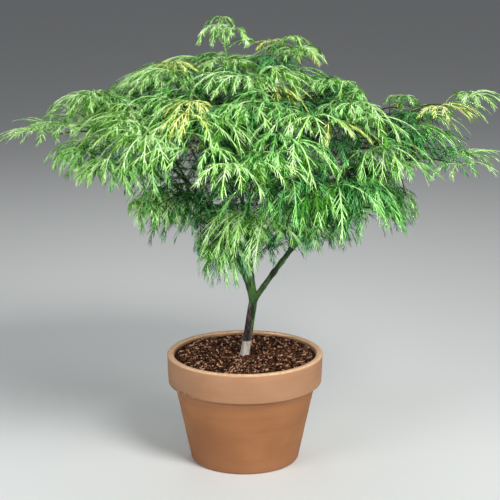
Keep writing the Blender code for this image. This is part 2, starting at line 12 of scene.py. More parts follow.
import bpy
import numpy as np
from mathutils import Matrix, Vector

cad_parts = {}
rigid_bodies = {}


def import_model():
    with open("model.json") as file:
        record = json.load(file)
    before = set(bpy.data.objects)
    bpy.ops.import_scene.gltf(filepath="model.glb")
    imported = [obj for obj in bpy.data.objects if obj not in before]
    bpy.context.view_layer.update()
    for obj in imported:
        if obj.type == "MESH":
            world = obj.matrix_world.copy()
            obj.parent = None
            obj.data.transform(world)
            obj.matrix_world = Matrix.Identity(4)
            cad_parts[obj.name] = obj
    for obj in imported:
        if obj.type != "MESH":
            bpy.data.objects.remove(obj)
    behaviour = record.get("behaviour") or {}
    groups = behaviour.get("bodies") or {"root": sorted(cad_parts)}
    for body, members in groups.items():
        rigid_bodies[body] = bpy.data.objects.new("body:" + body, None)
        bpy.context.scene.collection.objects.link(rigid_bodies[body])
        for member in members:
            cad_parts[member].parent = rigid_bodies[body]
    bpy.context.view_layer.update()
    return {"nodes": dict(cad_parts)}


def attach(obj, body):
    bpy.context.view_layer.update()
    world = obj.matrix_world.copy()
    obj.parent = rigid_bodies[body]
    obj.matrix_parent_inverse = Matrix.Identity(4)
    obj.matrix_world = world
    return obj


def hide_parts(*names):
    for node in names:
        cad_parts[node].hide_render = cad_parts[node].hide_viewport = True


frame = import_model()

UP = np.array([0.0, 0.0, 1.0])

# Pot and its filling, as in the solids
POT_HEIGHT = 0.212
RIM_RADIUS = 0.150
RIM_BAND_HEIGHT = 0.058
RIM_BAND_TAPER = 0.0025
RIM_BAND_LIP = 0.0115
BASE_RADIUS = 0.104
WALL = 0.0125
FLOOR = 0.016
DRAIN_HOLES = 3
DRAIN_RADIUS = 0.008
DRAIN_CIRCLE_RADIUS = 0.055
BARK_BELOW_RIM = 0.0125
BARK_MOUND = 0.006
BARK_TOP = 0.2062

# Wood, as in the solids
TRUNK_FOOT = np.array([0.0, 0.0, POT_HEIGHT - BARK_BELOW_RIM + BARK_MOUND])
TRUNK_TOP = np.array([0.0176, 0.004, 0.3225])
TRUNK_FOOT_RADIUS = 0.0092
TRUNK_RADIUS = 0.0083
TRUNK_TOP_RADIUS = 0.0070
FLARE_HEIGHT = 0.012
STEM_TIP_RADIUS = 0.0012
SHOOT_NODES = (0.36, 0.70)
SHOOT_LENGTH = 0.115
SHOOT_SPREAD = 58
TIP_FAN = (0, -72, 72)
PETIOLE = 0.036
LEAF_LENGTH = 0.112
SEED = 41

FIELDS = "name parent along azimuth reach height bare radius spread arch leaf full arc sunlit"
Limb = namedtuple("Limb", FIELDS, defaults=(0.0,))
LIMBS = [Limb(*row) for row in (
    ("left", "trunk", 0.84, 179, 0.362, 0.628, 0.42, 0.005, 0.35, 0.06, 0.82, 0.3, -28),
    ("right", "trunk", 0.9, 357, 0.388, 0.582, 0.42, 0.0056, 0.7, 0.05, 0.92, 0.7, -46),
    ("leader", "trunk", 1.0, 163, 0.042, 0.838, 0.74, 0.0056, 0.3, -0.02, 0.6, 0.2, -62),
    ("low_front", "leader", 0.16, 290, 0.085, 0.486, 0.4, 0.0026, 0.8, 0.015, 1.0, 0.4, -66, 0.42),
    ("low_back", "leader", 0.26, 84, 0.215, 0.52, 0.45, 0.003, 0.7, 0.03, 1.0, 1.0, -66),
    ("front", "leader", 0.38, 266, 0.285, 0.615, 0.45, 0.0034, 0.6, 0.045, 0.9, 0.8, -63, 0.03),
    ("back", "leader", 0.44, 92, 0.33, 0.61, 0.45, 0.0034, 0.6, 0.045, 1.0, 1.0, -66),
    ("back_left", "leader", 0.52, 133, 0.335, 0.624, 0.5, 0.0033, 0.6, 0.05, 1.0, 1.0, -66),
    ("back_right", "leader", 0.58, 50, 0.335, 0.628, 0.5, 0.0033, 0.6, 0.05, 1.0, 1.0, -66),
    ("upper_front", "leader", 0.62, 250, 0.17, 0.688, 0.45, 0.003, 0.6, 0.03, 0.9, 1.0, -58),
    ("high_right", "leader", 0.68, 10, 0.195, 0.694, 0.45, 0.0028, 0.7, 0.035, 0.86, 1.0, -54, 0.1),
    ("top_left", "leader", 0.76, 168, 0.148, 0.732, 0.42, 0.0028, 0.7, 0.03, 0.8, 0.7, -52),
    ("top_front", "leader", 0.83, 292, 0.08, 0.738, 0.42, 0.0026, 0.7, 0.02, 0.76, 0.6, -56, 0.1),
    ("top_right", "leader", 0.87, 34, 0.108, 0.772, 0.42, 0.0026, 0.7, 0.02, 0.72, 0.6, -52),
    ("top_back", "leader", 0.92, 100, 0.14, 0.736, 0.42, 0.0026, 0.7, 0.025, 0.8, 0.6, -52),
    ("front_left", "left", 0.4, 236, 0.262, 0.662, 0.45, 0.0032, 0.7, 0.04, 0.9, 0.8, -64, 0.17),
    ("inner_left", "left", 0.24, 196, 0.072, 0.424, 0.4, 0.0022, 0.9, 0.012, 0.86, 0.6, -86),
    ("low_left", "left", 0.52, 162, 0.19, 0.488, 0.45, 0.0026, 0.9, 0.022, 0.88, 0.6, -70, 0.35),
    ("mid_left", "left", 0.72, 207, 0.3, 0.586, 0.4, 0.0028, 0.7, 0.03, 0.84, 0.8, -66),
    ("high_left", "left", 0.84, 158, 0.284, 0.68, 0.35, 0.0026, 0.6, 0.03, 0.78, 0.8, -52),
    ("front_right", "right", 0.32, 309, 0.235, 0.56, 0.45, 0.003, 0.8, 0.03, 1.0, 0.8, -76, -0.08),
    ("shoulder", "right", 0.44, 300, 0.225, 0.68, 0.45, 0.003, 0.4, 0.03, 0.88, 0.8, -60),
    ("low_right", "right", 0.6, 342, 0.265, 0.504, 0.42, 0.0024, 0.9, 0.02, 0.96, 0.7, -76, -0.16),
    ("mid_right", "right", 0.7, 328, 0.275, 0.624, 0.42, 0.003, 0.6, 0.03, 0.92, 0.8, -66),
    ("upper_right", "right", 0.8, 26, 0.335, 0.664, 0.42, 0.003, 0.5, 0.03, 0.9, 1.0, -54, 0.55),
    ("far_right", "right", 0.84, 13, 0.395, 0.676, 0.35, 0.0028, 0.6, 0.03, 0.84, 0.5, -44, 0.15),
)]
MAIN_LIMB_POINTS = 13
LIMB_POINTS = 9

# Finer growth. Each pair of finer shoots has a share of the stem, a lift and a tint of painted
# shade for its leaves, and each tier of the leader a share and its leaves' azimuths
FINE_NODES = ((0.20, 0.3, 0.30), (0.34, -0.5, 0.62), (0.53, 0.2, 0.30), (0.80, -0.4, 0.55))
FINE_SHOOT = 0.050
LEADER_TIERS = ((0.15, (175, 20, 290)), (0.50, (350, 200, 95)))
SHOOT_LEAF_NODES = (0.48, 0.76)
NODE_SPREAD = 62
INNER_SHARES = (0.40, 0.56, 0.72, 0.90)
LOWEST_INNER = 0.40

# Lobes and teeth
LOBE_TURNS = (0, 25, -25, 51, -51, 82, -82, 118, -118)
LOBE_SHARES = (1.0, 0.97, 0.97, 0.88, 0.88, 0.68, 0.68, 0.42, 0.42)
LOBE_STEPS = 24
TEETH = 11
TOOTH_LENGTH = 0.0235
TOOTH_WIDTH = 0.0016
TOOTH_SHARES = (0.0, 0.4, 0.75, 1.0)
RIB_WIDTH = 0.0027

# Outline of the crown seen from the front, on the upright plane through the trunk: x, lowest z
# and highest z
EYE = np.array([0.010, -2.579, 1.010])
FRINGE = 0.045
CROWN_OUTLINE = np.array([
    (-0.5, 0.605, 0.665), (-0.45, 0.6, 0.672), (-0.39, 0.59, 0.67),
    (-0.36, 0.56, 0.69), (-0.33, 0.535, 0.705), (-0.26, 0.53, 0.725),
    (-0.235, 0.515, 0.745), (-0.215, 0.475, 0.775), (-0.195, 0.425, 0.78),
    (-0.17, 0.415, 0.792), (-0.13, 0.44, 0.785), (-0.105, 0.45, 0.79),
    (-0.085, 0.37, 0.815), (-0.06, 0.33, 0.852), (-0.03, 0.322, 0.85),
    (0.0, 0.345, 0.825), (0.03, 0.375, 0.802), (0.06, 0.39, 0.812),
    (0.085, 0.415, 0.82), (0.115, 0.405, 0.815), (0.145, 0.405, 0.78),
    (0.17, 0.41, 0.735), (0.2, 0.412, 0.73), (0.22, 0.425, 0.695),
    (0.235, 0.485, 0.68), (0.25, 0.48, 0.69), (0.265, 0.43, 0.706),
    (0.3, 0.425, 0.706), (0.325, 0.44, 0.69), (0.332, 0.53, 0.68),
    (0.37, 0.545, 0.69), (0.4, 0.55, 0.722), (0.44, 0.53, 0.722),
    (0.5, 0.49, 0.7),
])

# Where the leaves in front part and the wood shows, on the same plane: x, z, half width, half
# height
PARTINGS = np.array([(-0.093, 0.602, 0.012, 0.028), (-0.112, 0.548, 0.026, 0.013)])


# Small vector helpers


def unit(v):
    """A vector, or rows of them, at length one."""
    v = np.asarray(v, float)
    return v / np.maximum(np.linalg.norm(v, axis=-1, keepdims=True), 1e-9)


def outward(azimuth):
    """The level direction at an azimuth in degrees."""
    angle = math.radians(azimuth)
    return np.array([math.cos(angle), math.sin(angle), 0.0])


def splayed(along, across, angle):
    """The direction that is turned by an angle from along towards across."""
    turn = math.radians(angle)
    return along * math.cos(turn) + across * math.sin(turn)


def circle(count):
    """Angles all the way round."""
    return np.linspace(0, 2 * np.pi, count, endpoint=False)


def polar(r, q, z):
    """Points at radius r, angle q and height z."""
    return np.stack(np.broadcast_arrays(r * np.cos(q), r * np.sin(q), z), -1)


def bezier(a, b, c, d, count):
    """Points on a cubic curve: a s^3 + 3 b s^2 t + 3 c s t^2 + d t^3, with s = 1 - t."""
    t = np.linspace(0.0, 1.0, count)[:, None]
    s = 1.0 - t
    return a * s**3 + b * (3 * s * s * t) + c * (3 * s * t * t) + d * t**3


def at_share(points, share):
    """The point and the direction at a share of a route's points."""
    place = share * (len(points) - 1)
    i = min(int(place), len(points) - 2)
    step = points[i + 1] - points[i]
    return points[i] + step * (place - i), unit(step)


def smooth(points, count):
    """A route through three or more points, resampled as a quadratic or a natural blend of them."""
    place = np.linspace(0.0, 1.0, len(points))
    fit = np.polyfit(place, points, min(len(points) - 1, 4))
    t = np.linspace(0.0, 1.0, count)[:, None]
    powers = t ** np.arange(len(fit) - 1, -1, -1)
    return powers @ fit


# Meshes


class Heap:
    """Vertices and faces of one kind, gathered as whole arrays and made into one mesh."""

    def __init__(self):
        self.points, self.quads, self.tris, self.count = [], [], [], 0

    def add(self, points, quads=None, tris=None):
        points = np.asarray(points, float).reshape(-1, 3)
        if quads is not None:
            self.quads.append(np.asarray(quads).reshape(-1, 4) + self.count)
        if tris is not None:
            self.tris.append(np.asarray(tris).reshape(-1, 3) + self.count)
        self.points.append(points)
        self.count += len(points)

    def weld(self):
        """Points that coincide become one."""
        points = np.concatenate(self.points)
        _, first, place = np.unique(np.round(points, 6), axis=0, return_index=True, return_inverse=True)
        self.points, self.quads = [points[first]], [place.reshape(-1)[np.concatenate(self.quads)]]

    def build(self, name, finish, slot, stands_for=(), smooth_faces=False):
        points = np.concatenate(self.points)
        quads = np.concatenate(self.quads) if self.quads else np.zeros((0, 4), int)
        tris = np.concatenate(self.tris) if self.tris else np.zeros((0, 3), int)
        mesh = bpy.data.meshes.new(name)
        mesh.vertices.add(len(points))
        mesh.vertices.foreach_set("co", points.astype(np.float32).ravel())
        corners = np.concatenate([quads.ravel(), tris.ravel()])
        mesh.loops.add(len(corners))
        mesh.loops.foreach_set("vertex_index", corners.astype(np.int32))
        starts = np.concatenate(
            [np.arange(len(quads)) * 4, 4 * len(quads) + np.arange(len(tris)) * 3]
        )
        mesh.polygons.add(len(starts))
        mesh.polygons.foreach_set("loop_start", starts.astype(np.int32))
        mesh.update(calc_edges=True)
        mesh.polygons.foreach_set("use_smooth", np.full(len(starts), smooth_faces))
        mesh.materials.append(finish)
        piece = placed(name, mesh)
        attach(piece, "root")
        if stands_for:
            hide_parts(*stands_for)


def placed(name, data):
    """A new object in the scene."""
    made = bpy.data.objects.new(name, data)
    bpy.context.scene.collection.objects.link(made)
    return made


def ring_faces(rows, around):
    """Quads between neighbouring rings of a grid that closes on itself sideways."""
    i, j = np.meshgrid(np.arange(rows - 1), np.arange(around), indexing="ij")
    k = (j + 1) % around
    return np.stack([i * around + j, i * around + k, (i + 1) * around + k, (i + 1) * around + j], -1)


def pole_faces(pole, first, around):
    """Triangles from one point to each side of the ring that starts at first."""
    j = np.arange(around)
    return np.stack([np.full(around, pole), first + j, first + (j + 1) % around], -1)


def sideways(tangents):
    """Two directions across each tangent: its product with the axis it leans on least, and
    the product of the two."""
    middle = np.abs(tangents.mean(axis=-2))
    axis = np.eye(3)[np.argmin(middle, axis=-1)]
    a = unit(np.cross(tangents, np.expand_dims(axis, -2)))
    return a, unit(np.cross(tangents, a))


def tubes(heap, routes, radii, around, swell=None):
    """Closed tubes along routes (n, rows, 3): centre + radius (cos q a + sin q b), with a point
    at each end. swell (n, rows, around) multiplies the radius."""
    n, rows, _ = routes.shape
    tangents = unit(np.gradient(routes, axis=1))
    a, b = sideways(tangents)
    q = circle(around)
    spread = radii[..., None] * (1.0 if swell is None else swell)
    spread = np.broadcast_to(spread, (n, rows, around))[..., None]
    ring = np.cos(q)[:, None] * a[:, :, None] + np.sin(q)[:, None] * b[:, :, None]
    body = (routes[:, :, None] + spread * ring).reshape(n, rows * around, 3)
    ends = routes[:, [0, -1]] + tangents[:, [0, -1]] * radii[:, [0, -1], None] * [[[-0.3], [0.6]]]
    points = np.concatenate([body, ends], axis=1)
    step = (np.arange(n) * (rows * around + 2))[:, None]
    quads = ring_faces(rows, around).reshape(1, -1, 4) + step[..., None]
    first = pole_faces(rows * around, 0, around)[:, [0, 2, 1]]
    last = pole_faces(rows * around + 1, (rows - 1) * around, around)
    caps = np.concatenate([first, last])[None] + step[..., None]
    heap.add(points, quads, caps)


# Shader maths


class Wire:
    """A number socket with Python's operators, each of which adds a Math node."""

    def __init__(self, finish, socket):
        self.finish, self.socket = finish, socket

    def _math(self, operation, *values):
        return self.finish.node("ShaderNodeMath", {"operation": operation}, values)

    def __add__(self, other):
        return self._math("ADD", self, other)

    def __sub__(self, other):
        return self._math("SUBTRACT", self, other)

    def __rsub__(self, other):
        return self._math("SUBTRACT", other, self)

    def __mul__(self, other):
        return self._math("MULTIPLY", self, other)

    def step(self, low, high):
        """0 below low, 1 above high, and a smooth ramp between."""
        sockets = {"Value": self, "From Min": low, "From Max": high}
        return self.finish.node(
            "ShaderNodeMapRange", {"interpolation_type": "SMOOTHSTEP"}, sockets, "Result"
        )

    __radd__, __rmul__ = __add__, __mul__


class Finish:
    """A material whose nodes are all made by one method."""

    def __init__(self, name):
        self.material = bpy.data.materials.new(name)
        self.material.use_nodes = True
        self.tree = self.material.node_tree
        self.shader = self.tree.nodes["Principled BSDF"]
        self.output = self.tree.nodes["Material Output"]

    def node(self, kind, settings, values, result=0):
        """Adds a node: its settings first, then the values or wires of its sockets."""
        made = self.tree.nodes.new(kind)
        for key, value in settings.items():
            setattr(made, key, value)
        items = values.items() if isinstance(values, dict) else enumerate(values)
        for key, value in items:
            self.plug(made.inputs[key], value)
        return Wire(self, made.outputs[result])

    def plug(self, socket, value):
        if isinstance(value, Wire):
            self.tree.links.new(value.socket, socket)
        elif isinstance(value, (tuple, list)) and len(value) == 3 and socket.type == "RGBA":
            socket.default_value = (*value, 1.0)
        else:
            socket.default_value = value

    def where(self, scale=(1.0, 1.0, 1.0)):
        """Object coordinates, stretched by scale."""
        place = self.node("ShaderNodeTexCoord", {}, {}, "Object")
        return self.node("ShaderNodeMapping", {}, {"Vector": place, "Scale": scale})

    def height(self, axis="Z"):
        place = self.node("ShaderNodeTexCoord", {}, {}, "Object")
        return self.node("ShaderNodeSeparateXYZ", {}, [place], axis)

    def noise(self, scale, detail=3.0, rough=0.55, warp=0.0, stretch=(1.0, 1.0, 1.0)):
        sockets = {
            "Vector": self.where(stretch),
            "Scale": scale,
            "Detail": detail,
            "Roughness": rough,
            "Distortion": warp,
        }
        return self.node("ShaderNodeTexNoise", {}, sockets)

    def mix(self, factor, a, b, blend="MIX"):
        settings = {"data_type": "RGBA", "blend_type": blend}
        return self.node("ShaderNodeMix", settings, {0: factor, 6: a, 7: b}, 2)

    def set(self, **sockets):
        for key, value in sockets.items():
            self.plug(self.shader.inputs[key.replace("_", " ")], value)

    def relief(self, height, strength, distance):
        values = {"Strength": strength, "Distance": distance, "Height": height}
        self.plug(self.shader.inputs["Normal"], self.node("ShaderNodeBump", {}, values))


def clay_finish():
    """Unglazed clay: mottled orange-brown, paler and pinker on the rim, with a painted highlight and
    some dust on its top edge, a painted shadow line just under the rim band and a worn stretch on
    the rim's lower edge."""
    f = Finish("terracotta")
    height = f.height()
    cloud = f.noise(7.0, 3.0, 0.5, 0.3, (1.0, 1.0, 2.2))
    turning = f.noise(16.0, 3.0, 0.6, 0.2, (0.25, 0.25, 9.0))
    grain = f.noise(160.0, 3.0, 0.6)
    speck = f.noise(620.0, 2.0, 0.5)
    body = f.mix(cloud.step(0.3, 0.72), (0.234, 0.089, 0.029), (0.292, 0.122, 0.043))
    rim = f.mix(cloud.step(0.3, 0.7), (0.262, 0.126, 0.060), (0.318, 0.166, 0.086))
    colour = f.mix(height.step(0.140, 0.160), body, rim)
    damp = (1 - height.step(0.0, 0.05)) * cloud.step(0.35, 0.6)
    colour = f.mix(damp * 0.35, colour, (0.27, 0.110, 0.045))
    # Painted shadow: a dark line just under the rim band's lower edge.
    rim_shadow = height.step(0.1460, 0.1530) * (1 - height.step(0.1535, 0.1560))
    colour = f.mix(rim_shadow * 0.8, colour, (0.075, 0.028, 0.010))
    edge = height.step(0.1530, 0.1545) * (1 - height.step(0.1570, 0.1640))
    left = 1 - f.height("X").step(-0.115, -0.070)
    worn = f.noise(120.0, 2.0, 0.5, 0.5).step(0.48, 0.54) * edge * left
    colour = f.mix(worn * 0.75, colour, (0.095, 0.040, 0.017))
    # Painted highlight, with some dust: the rim's top edge is made lighter and paler.
    highlight_and_dust = height.step(0.2080, 0.2115) * (grain.step(0.30, 0.6) * 0.4 + 0.6)
    colour = f.mix(highlight_and_dust * 0.85, colour, (0.80, 0.50, 0.31))
    streak = grain * 0.25 + turning * 0.75
    fine = f.mix(streak.step(0.3, 0.7), (0.96, 0.96, 0.96), (1.04, 1.035, 1.03))
    colour = f.mix(1.0, colour, fine, "MULTIPLY")
    f.set(Base_Color=colour, Roughness=grain * 0.15 + 0.74)
    f.relief(grain * 0.4 + speck * 0.3 + turning * 0.5, 0.3, 0.0010)
    return f.material


def bark_finish(name, dark, light, green, trunk=False):
    """Rough bark: dark furrows, paler ridges and a green cast in patches. The trunk has rusty
    patches, a pale foot, a green strip up its right side and turns green at the fork. High
    boughs are young and pale green."""
    f = Finish(name)
    furrow = f.noise(120.0, 5.0, 0.65, 0.6, (1.0, 1.0, 0.35))
    patch = f.noise(26.0, 3.0, 0.6)
    colour = f.mix(furrow.step(0.46, 0.66), dark, light)
    colour = f.mix(patch.step(0.5, 0.68) * 0.6, colour, green)
    if trunk:
        height = f.height()
        rust = f.noise(70.0, 2.0, 0.5, 0.4).step(0.52, 0.62)
        colour = f.mix(rust * 0.65, colour, (0.055, 0.015, 0.010))
        fresh = f.mix(furrow.step(0.35, 0.65), (0.008, 0.034, 0.006), (0.058, 0.155, 0.026))
        strip = (f.height("X") - height * 0.1504 + 0.0309 + furrow * 0.003).step(0.0040, 0.0062)
        colour = f.mix(strip * height.step(0.250, 0.268), colour, fresh)
        colour = f.mix((height + furrow * 0.012).step(0.306, 0.324), colour, fresh)
        low = 1 - (height + furrow * 0.004).step(0.2345, 0.2375)
        pale = f.mix(furrow.step(0.3, 0.7), (0.24, 0.20, 0.17), (0.52, 0.47, 0.42))
        colour = f.mix(low, colour, pale)
    else:
        young = f.height().step(0.66, 0.80) * 0.8
        colour = f.mix(young, colour, (0.17, 0.34, 0.09))
    f.set(Base_Color=colour, Roughness=furrow * 0.15 + 0.72, Specular_IOR_Level=0.25)
    f.relief(furrow, 0.7, 0.0016)
    return f.material


def chip_finish(name, dark, light):
    """Damp bark chips, fibrous along the grain."""
    f = Finish(name)
    fibre = f.noise(240.0, 4.0, 0.7, 0.4, (1.0, 0.5, 1.4))
    f.set(Base_Color=f.mix(fibre.step(0.3, 0.72), dark, light), Roughness=fibre * 0.2 + 0.72)
    f.set(Specular_IOR_Level=0.15)
    f.relief(fibre, 0.5, 0.0006)
    return f.material


def leaf_finish(name, shade, sunny, share=0.20):
    """A soft leaf that lets light through: a mix of a satin face and a translucent one."""
    f = Finish(name)
    vein = f.noise(38.0, 2.0, 0.5)
    f.set(Base_Color=f.mix(vein.step(0.32, 0.68), shade, sunny), Roughness=vein * 0.1 + 0.36)
    f.set(Specular_IOR_Level=0.14)
    through = (sunny[0], sunny[1], 0.45 * sunny[2])
    glow = f.node("ShaderNodeBsdfTranslucent", {}, {"Color": through})
    mixed = f.node("ShaderNodeMixShader", {}, [share, Wire(f, f.shader.outputs[0]), glow])
    f.tree.links.new(mixed.socket, f.output.inputs["Surface"])
    return f.material


def floor_finish():
    f = Finish("studio_floor")
    f.set(Base_Color=(0.74, 0.75, 0.76), Roughness=0.65)
    return f.material


# Wood


def trunk_route(count=MAIN_LIMB_POINTS):
    """Points on the line from foot to top, the second straight over the first."""
    points = TRUNK_FOOT + (TRUNK_TOP - TRUNK_FOOT) * np.linspace(0, 1, count)[:, None]
    points[1, :2] = TRUNK_FOOT[:2]
    return points


def controls_of(limb, start, along):
    """The four control points of a limb's curve, which climbs with its parent, then arches out."""
    end = outward(limb.azimuth) * limb.reach + UP * limb.height
    run = np.linalg.norm(end - start)
    flat = np.array([end[0] - start[0], end[1] - start[1], 0.0])
    flat = unit(flat) if np.linalg.norm(flat) > 1e-6 else np.array([1.0, 0.0, 0.0])
    leaving = unit(along + limb.spread * flat + 0.25 * UP)
    elbow = end - flat * (0.34 * run) + UP * limb.arch
    if limb.arch < 0:
        elbow = end - UP * (0.4 * run) + flat * limb.arch
    return start, start + leaving * (0.36 * run), elbow, end


class Grown:
    """A limb's coarse route, as in the solids, with the controls of its true curve."""

    def __init__(self, limb, points, controls, bare_points, radius):
        self.limb, self.points, self.controls = limb, points, controls
        self.bare_points, self.radius = bare_points, radius

    def bare(self):
        return self.points[: self.bare_points]

    def leafy(self):
        return self.points[self.bare_points - 1 :]

    def curve(self, count):
        return trunk_route(count) if self.limb is None else bezier(*self.controls, count)


def grow_limbs():
    """Every limb's route, each from a share of its parent's bare part."""
    grown = {"trunk": Grown(None, trunk_route(), None, MAIN_LIMB_POINTS, TRUNK_RADIUS)}
    for limb in LIMBS:
        start, along = at_share(grown[limb.parent].bare(), limb.along)
        controls = controls_of(limb, start, along)
        count = MAIN_LIMB_POINTS if limb.parent == "trunk" else LIMB_POINTS
        bare_points = 1 + round(limb.bare * (count - 1))
        grown[limb.name] = Grown(limb, bezier(*controls, count), controls, bare_points, limb.radius)
    return grown


def ripple(rows, around, seed, waves, along, strength):
    """Bark relief: a sum of sines, each sin(k q + m s + phase) with whole k, so that it closes."""
    rng = np.random.default_rng(seed)
    s = np.linspace(0, 1, rows)[:, None]
    q = circle(around)[None]
    total = np.zeros((rows, around))
    for k in waves:
        for _ in range(3):
            m, phase = rng.uniform(-along, along) * 2 * np.pi, rng.uniform(0, 2 * np.pi)
            total += np.sin(k * q + m * s + phase + 0.8 * np.sin(7 * s + phase)) / k**0.5
    return 1 + strength * total / len(waves)


def swelling(gap, width):
    """1 at a gap of nothing, and less with distance: exp(-(gap / width)^2)."""
    return np.exp(-((gap / width) ** 2))


def forks_of(grown, name):
    """Where along its bare part a limb forks."""
    return [g.limb.along for g in grown.values() if g.limb and g.limb.parent == name]


def make_wood(grown):
    """The trunk and the boughs as barked tubes, swollen at each fork, with the stems that run on
    through the foliage."""
    trunk, boughs = Heap(), Heap()
    rows, around = 120, 44
    s = np.linspace(0, 1, rows)
    route = grown["trunk"].curve(rows)
    route[0] -= UP * 0.004
    lift = (route[:, 2] - TRUNK_FOOT[2]).clip(0)
    radii = TRUNK_RADIUS + (TRUNK_FOOT_RADIUS - TRUNK_RADIUS) * np.exp(-lift / FLARE_HEIGHT)
    radii -= (TRUNK_RADIUS - TRUNK_TOP_RADIUS) * ((s - 0.8) / 0.2).clip(0)
    radii += 0.0006 * swelling(lift - 0.0290, 0.004)
    q = circle(around)
    roots = 1 + 0.10 * np.exp(-lift / 0.010)[:, None] * np.cos(5 * q + 0.7)[None]
    relief = ripple(rows, around, 5, (2, 3, 5, 8, 11), 3.0, 0.075)
    tubes(trunk, route[None], radii[None], around, (relief * roots)[None])
    for number, (name, g) in enumerate(grown.items()):
        if g.limb is None:
            continue
        main = g.limb.parent == "trunk"
        rows, around = (150, 20) if main else (90, 12)
        route = g.curve(rows)
        s = np.linspace(0, 1, rows)
        radii = g.radius + (STEM_TIP_RADIUS - g.radius) * s**0.9
        length = np.linalg.norm(np.diff(route, axis=0), axis=1).sum()
        radii += 0.35 * g.radius * swelling(s * length, 0.008)
        bare = (g.bare_points - 1) / (len(g.points) - 1)
        for along in forks_of(grown, name):
            radii += 0.22 * g.radius * swelling((s - along * bare) * length, 0.006)
        for node in np.arange(0.035, length, 0.035) / length:
            radii += 0.10 * g.radius * swelling((s - node) * length, 0.0025)
        relief = ripple(rows, around, 20 + number, (2, 3, 5), 6.0, 0.06)
        tubes(boughs, route[None], radii[None], around, relief[None])
    trunk.build(
        "barked_trunk",
        bark_finish("trunk_bark", (0.006, 0.005, 0.005), (0.19, 0.185, 0.182), (0.018, 0.026, 0.015), True),
        "bark",
        ["trunk"],
        True,
    )
    boughs.build(
        "barked_boughs",
        bark_finish("bough_bark", (0.007, 0.015, 0.005), (0.045, 0.088, 0.022), (0.050, 0.135, 0.022)),
        "bark",
        [name for name in frame["nodes"] if name.startswith("bough_")],
        True,
    )


# Foliage


class Spray:
    """What the growth rule lays out: twigs, stalks and leaves, as plain lists of numbers."""

    def __init__(self):
        self.twigs, self.stalks, self.leaves = [], [], []

    def leaf(self, foot, direction, stalk, size, tint, limb, rng):
        """A stalk from foot that lifts a little and curves over, with a leaf on its end."""
        direction = unit(direction)
        heart = foot + direction * stalk
        sag = UP * (-0.10 * stalk)
        if stalk > 0.004:
            middle = foot + direction * (0.5 * stalk) + UP * (0.14 * stalk)
            self.stalks.append((smooth(np.array([foot, middle, heart + sag]), 6), len(self.leaves)))
            heart = heart + sag
        heading = math.degrees(math.atan2(direction[1], direction[0])) + rng.uniform(-12, 12)
        pose = (heading, size, rng.uniform(-4, 22), rng.uniform(0, 16), limb.arc + rng.uniform(-9, 9))
        self.leaves.append((*heart, *pose, tint_at(heart, tint)))

    def twig(self, route, radius):
        self.twigs.append((smooth(np.array(route), 9), radius))


def side_shoots(g, rng):
    """The coarse shoots, by the solids' own rule and draws."""
    points = g.leafy()
    run = np.linalg.norm(np.diff(points, axis=0), axis=1).sum()
    shoots = []
    for node, share in enumerate(SHOOT_NODES):
        start, along = at_share(points, share)
        across = np.cross(along, UP)
        size = np.linalg.norm(across)
        across = across / size if size > 0.4 else outward(90 * node + 20)
        for side in (-1, 1):
            direction = splayed(along, across, side * (SHOOT_SPREAD + rng.uniform(-10, 10)))
            direction[2] = max(direction[2], -0.05) * 0.6
            length = SHOOT_LENGTH * min(1.0, run / 0.16) * (1.15 - 0.35 * node)
            length *= rng.uniform(0.85, 1.15)
            rise = UP * (rng.uniform(0.1, 0.28) * length)
            direction = unit(direction)
            end = start + direction * length + rise
            shoots.append([start, start + direction * (0.5 * length) + rise, end])
    return shoots


def tip_growth(point):
    """A leaf that ends a stem is up to 18% larger inside the crown than at its widest reach."""
    return float(np.interp(math.hypot(point[0], point[1]), (0.27, 0.36), (1.18, 1.0)))


def leaf_pair(spray, foot, along, stalk, size, tint, limb, rng):
    """Two opposite leaves at a node."""
    across = unit(np.cross(along, UP) + 1e-6)
    for side in (-1, 1):
        direction = splayed(along, across, side * (NODE_SPREAD + rng.uniform(-14, 14)))
        direction = unit(direction * [1, 1, 0.3]) + UP * rng.uniform(-0.15, 0.9)
        own_stalk, own_size = stalk * rng.uniform(0.7, 1.5), size * rng.uniform(0.82, 1.1)
        spray.leaf(foot, direction, own_stalk, own_size, tint, limb, rng)


def grow_spray(spray, route, radius, size, tint, nodes, limb, rng):
    """A shoot with pairs of leaves at its nodes, and one leaf that ends it."""
    spray.twig(route, radius)
    points = smooth(np.array(route), 9)
    # Painted light and shade: the leaf pairs at the nodes are painted darker than the shoot's tint, and the
    # leaf that ends it lighter.
    for node in nodes:
        foot, along = at_share(points, node + rng.uniform(-0.04, 0.04))
        leaf_pair(spray, foot, along, 0.8 * PETIOLE * size, 0.80 * size, tint + 0.16, limb, rng)
    end, along = at_share(points, 0.999)
    own_size = size * tip_growth(end) * rng.uniform(0.90, 1.04)
    spray.leaf(end, along + UP * 0.1, 0.003, own_size, tint - 0.10, limb, rng)


def crown_reach(z):
    """The crown's radius at a height: it widens from the fork to the widest tier, then closes."""
    return np.interp(z, (0.43, 0.50, 0.56, 0.64, 0.74, 0.86), (0.01, 0.09, 0.28, 0.40, 0.26, 0.04))


def tint_at(point, own):
    """A leaf's green from 0, lime, to 1, deep, as painted light and shade: leaves inside the crown
    and to its right are painted darker, leaves high up and to the left lighter.
    """
    x, y, z = point
    inside = 1 - math.hypot(x, y) / crown_reach(z)
    sideways_shade = 0.52 * x if x > 0 else 0.9 * max(x, -0.18)
    return own + 0.25 * max(inside, 0.0) + sideways_shade - 2.2 * max(z - 0.63, 0.0)


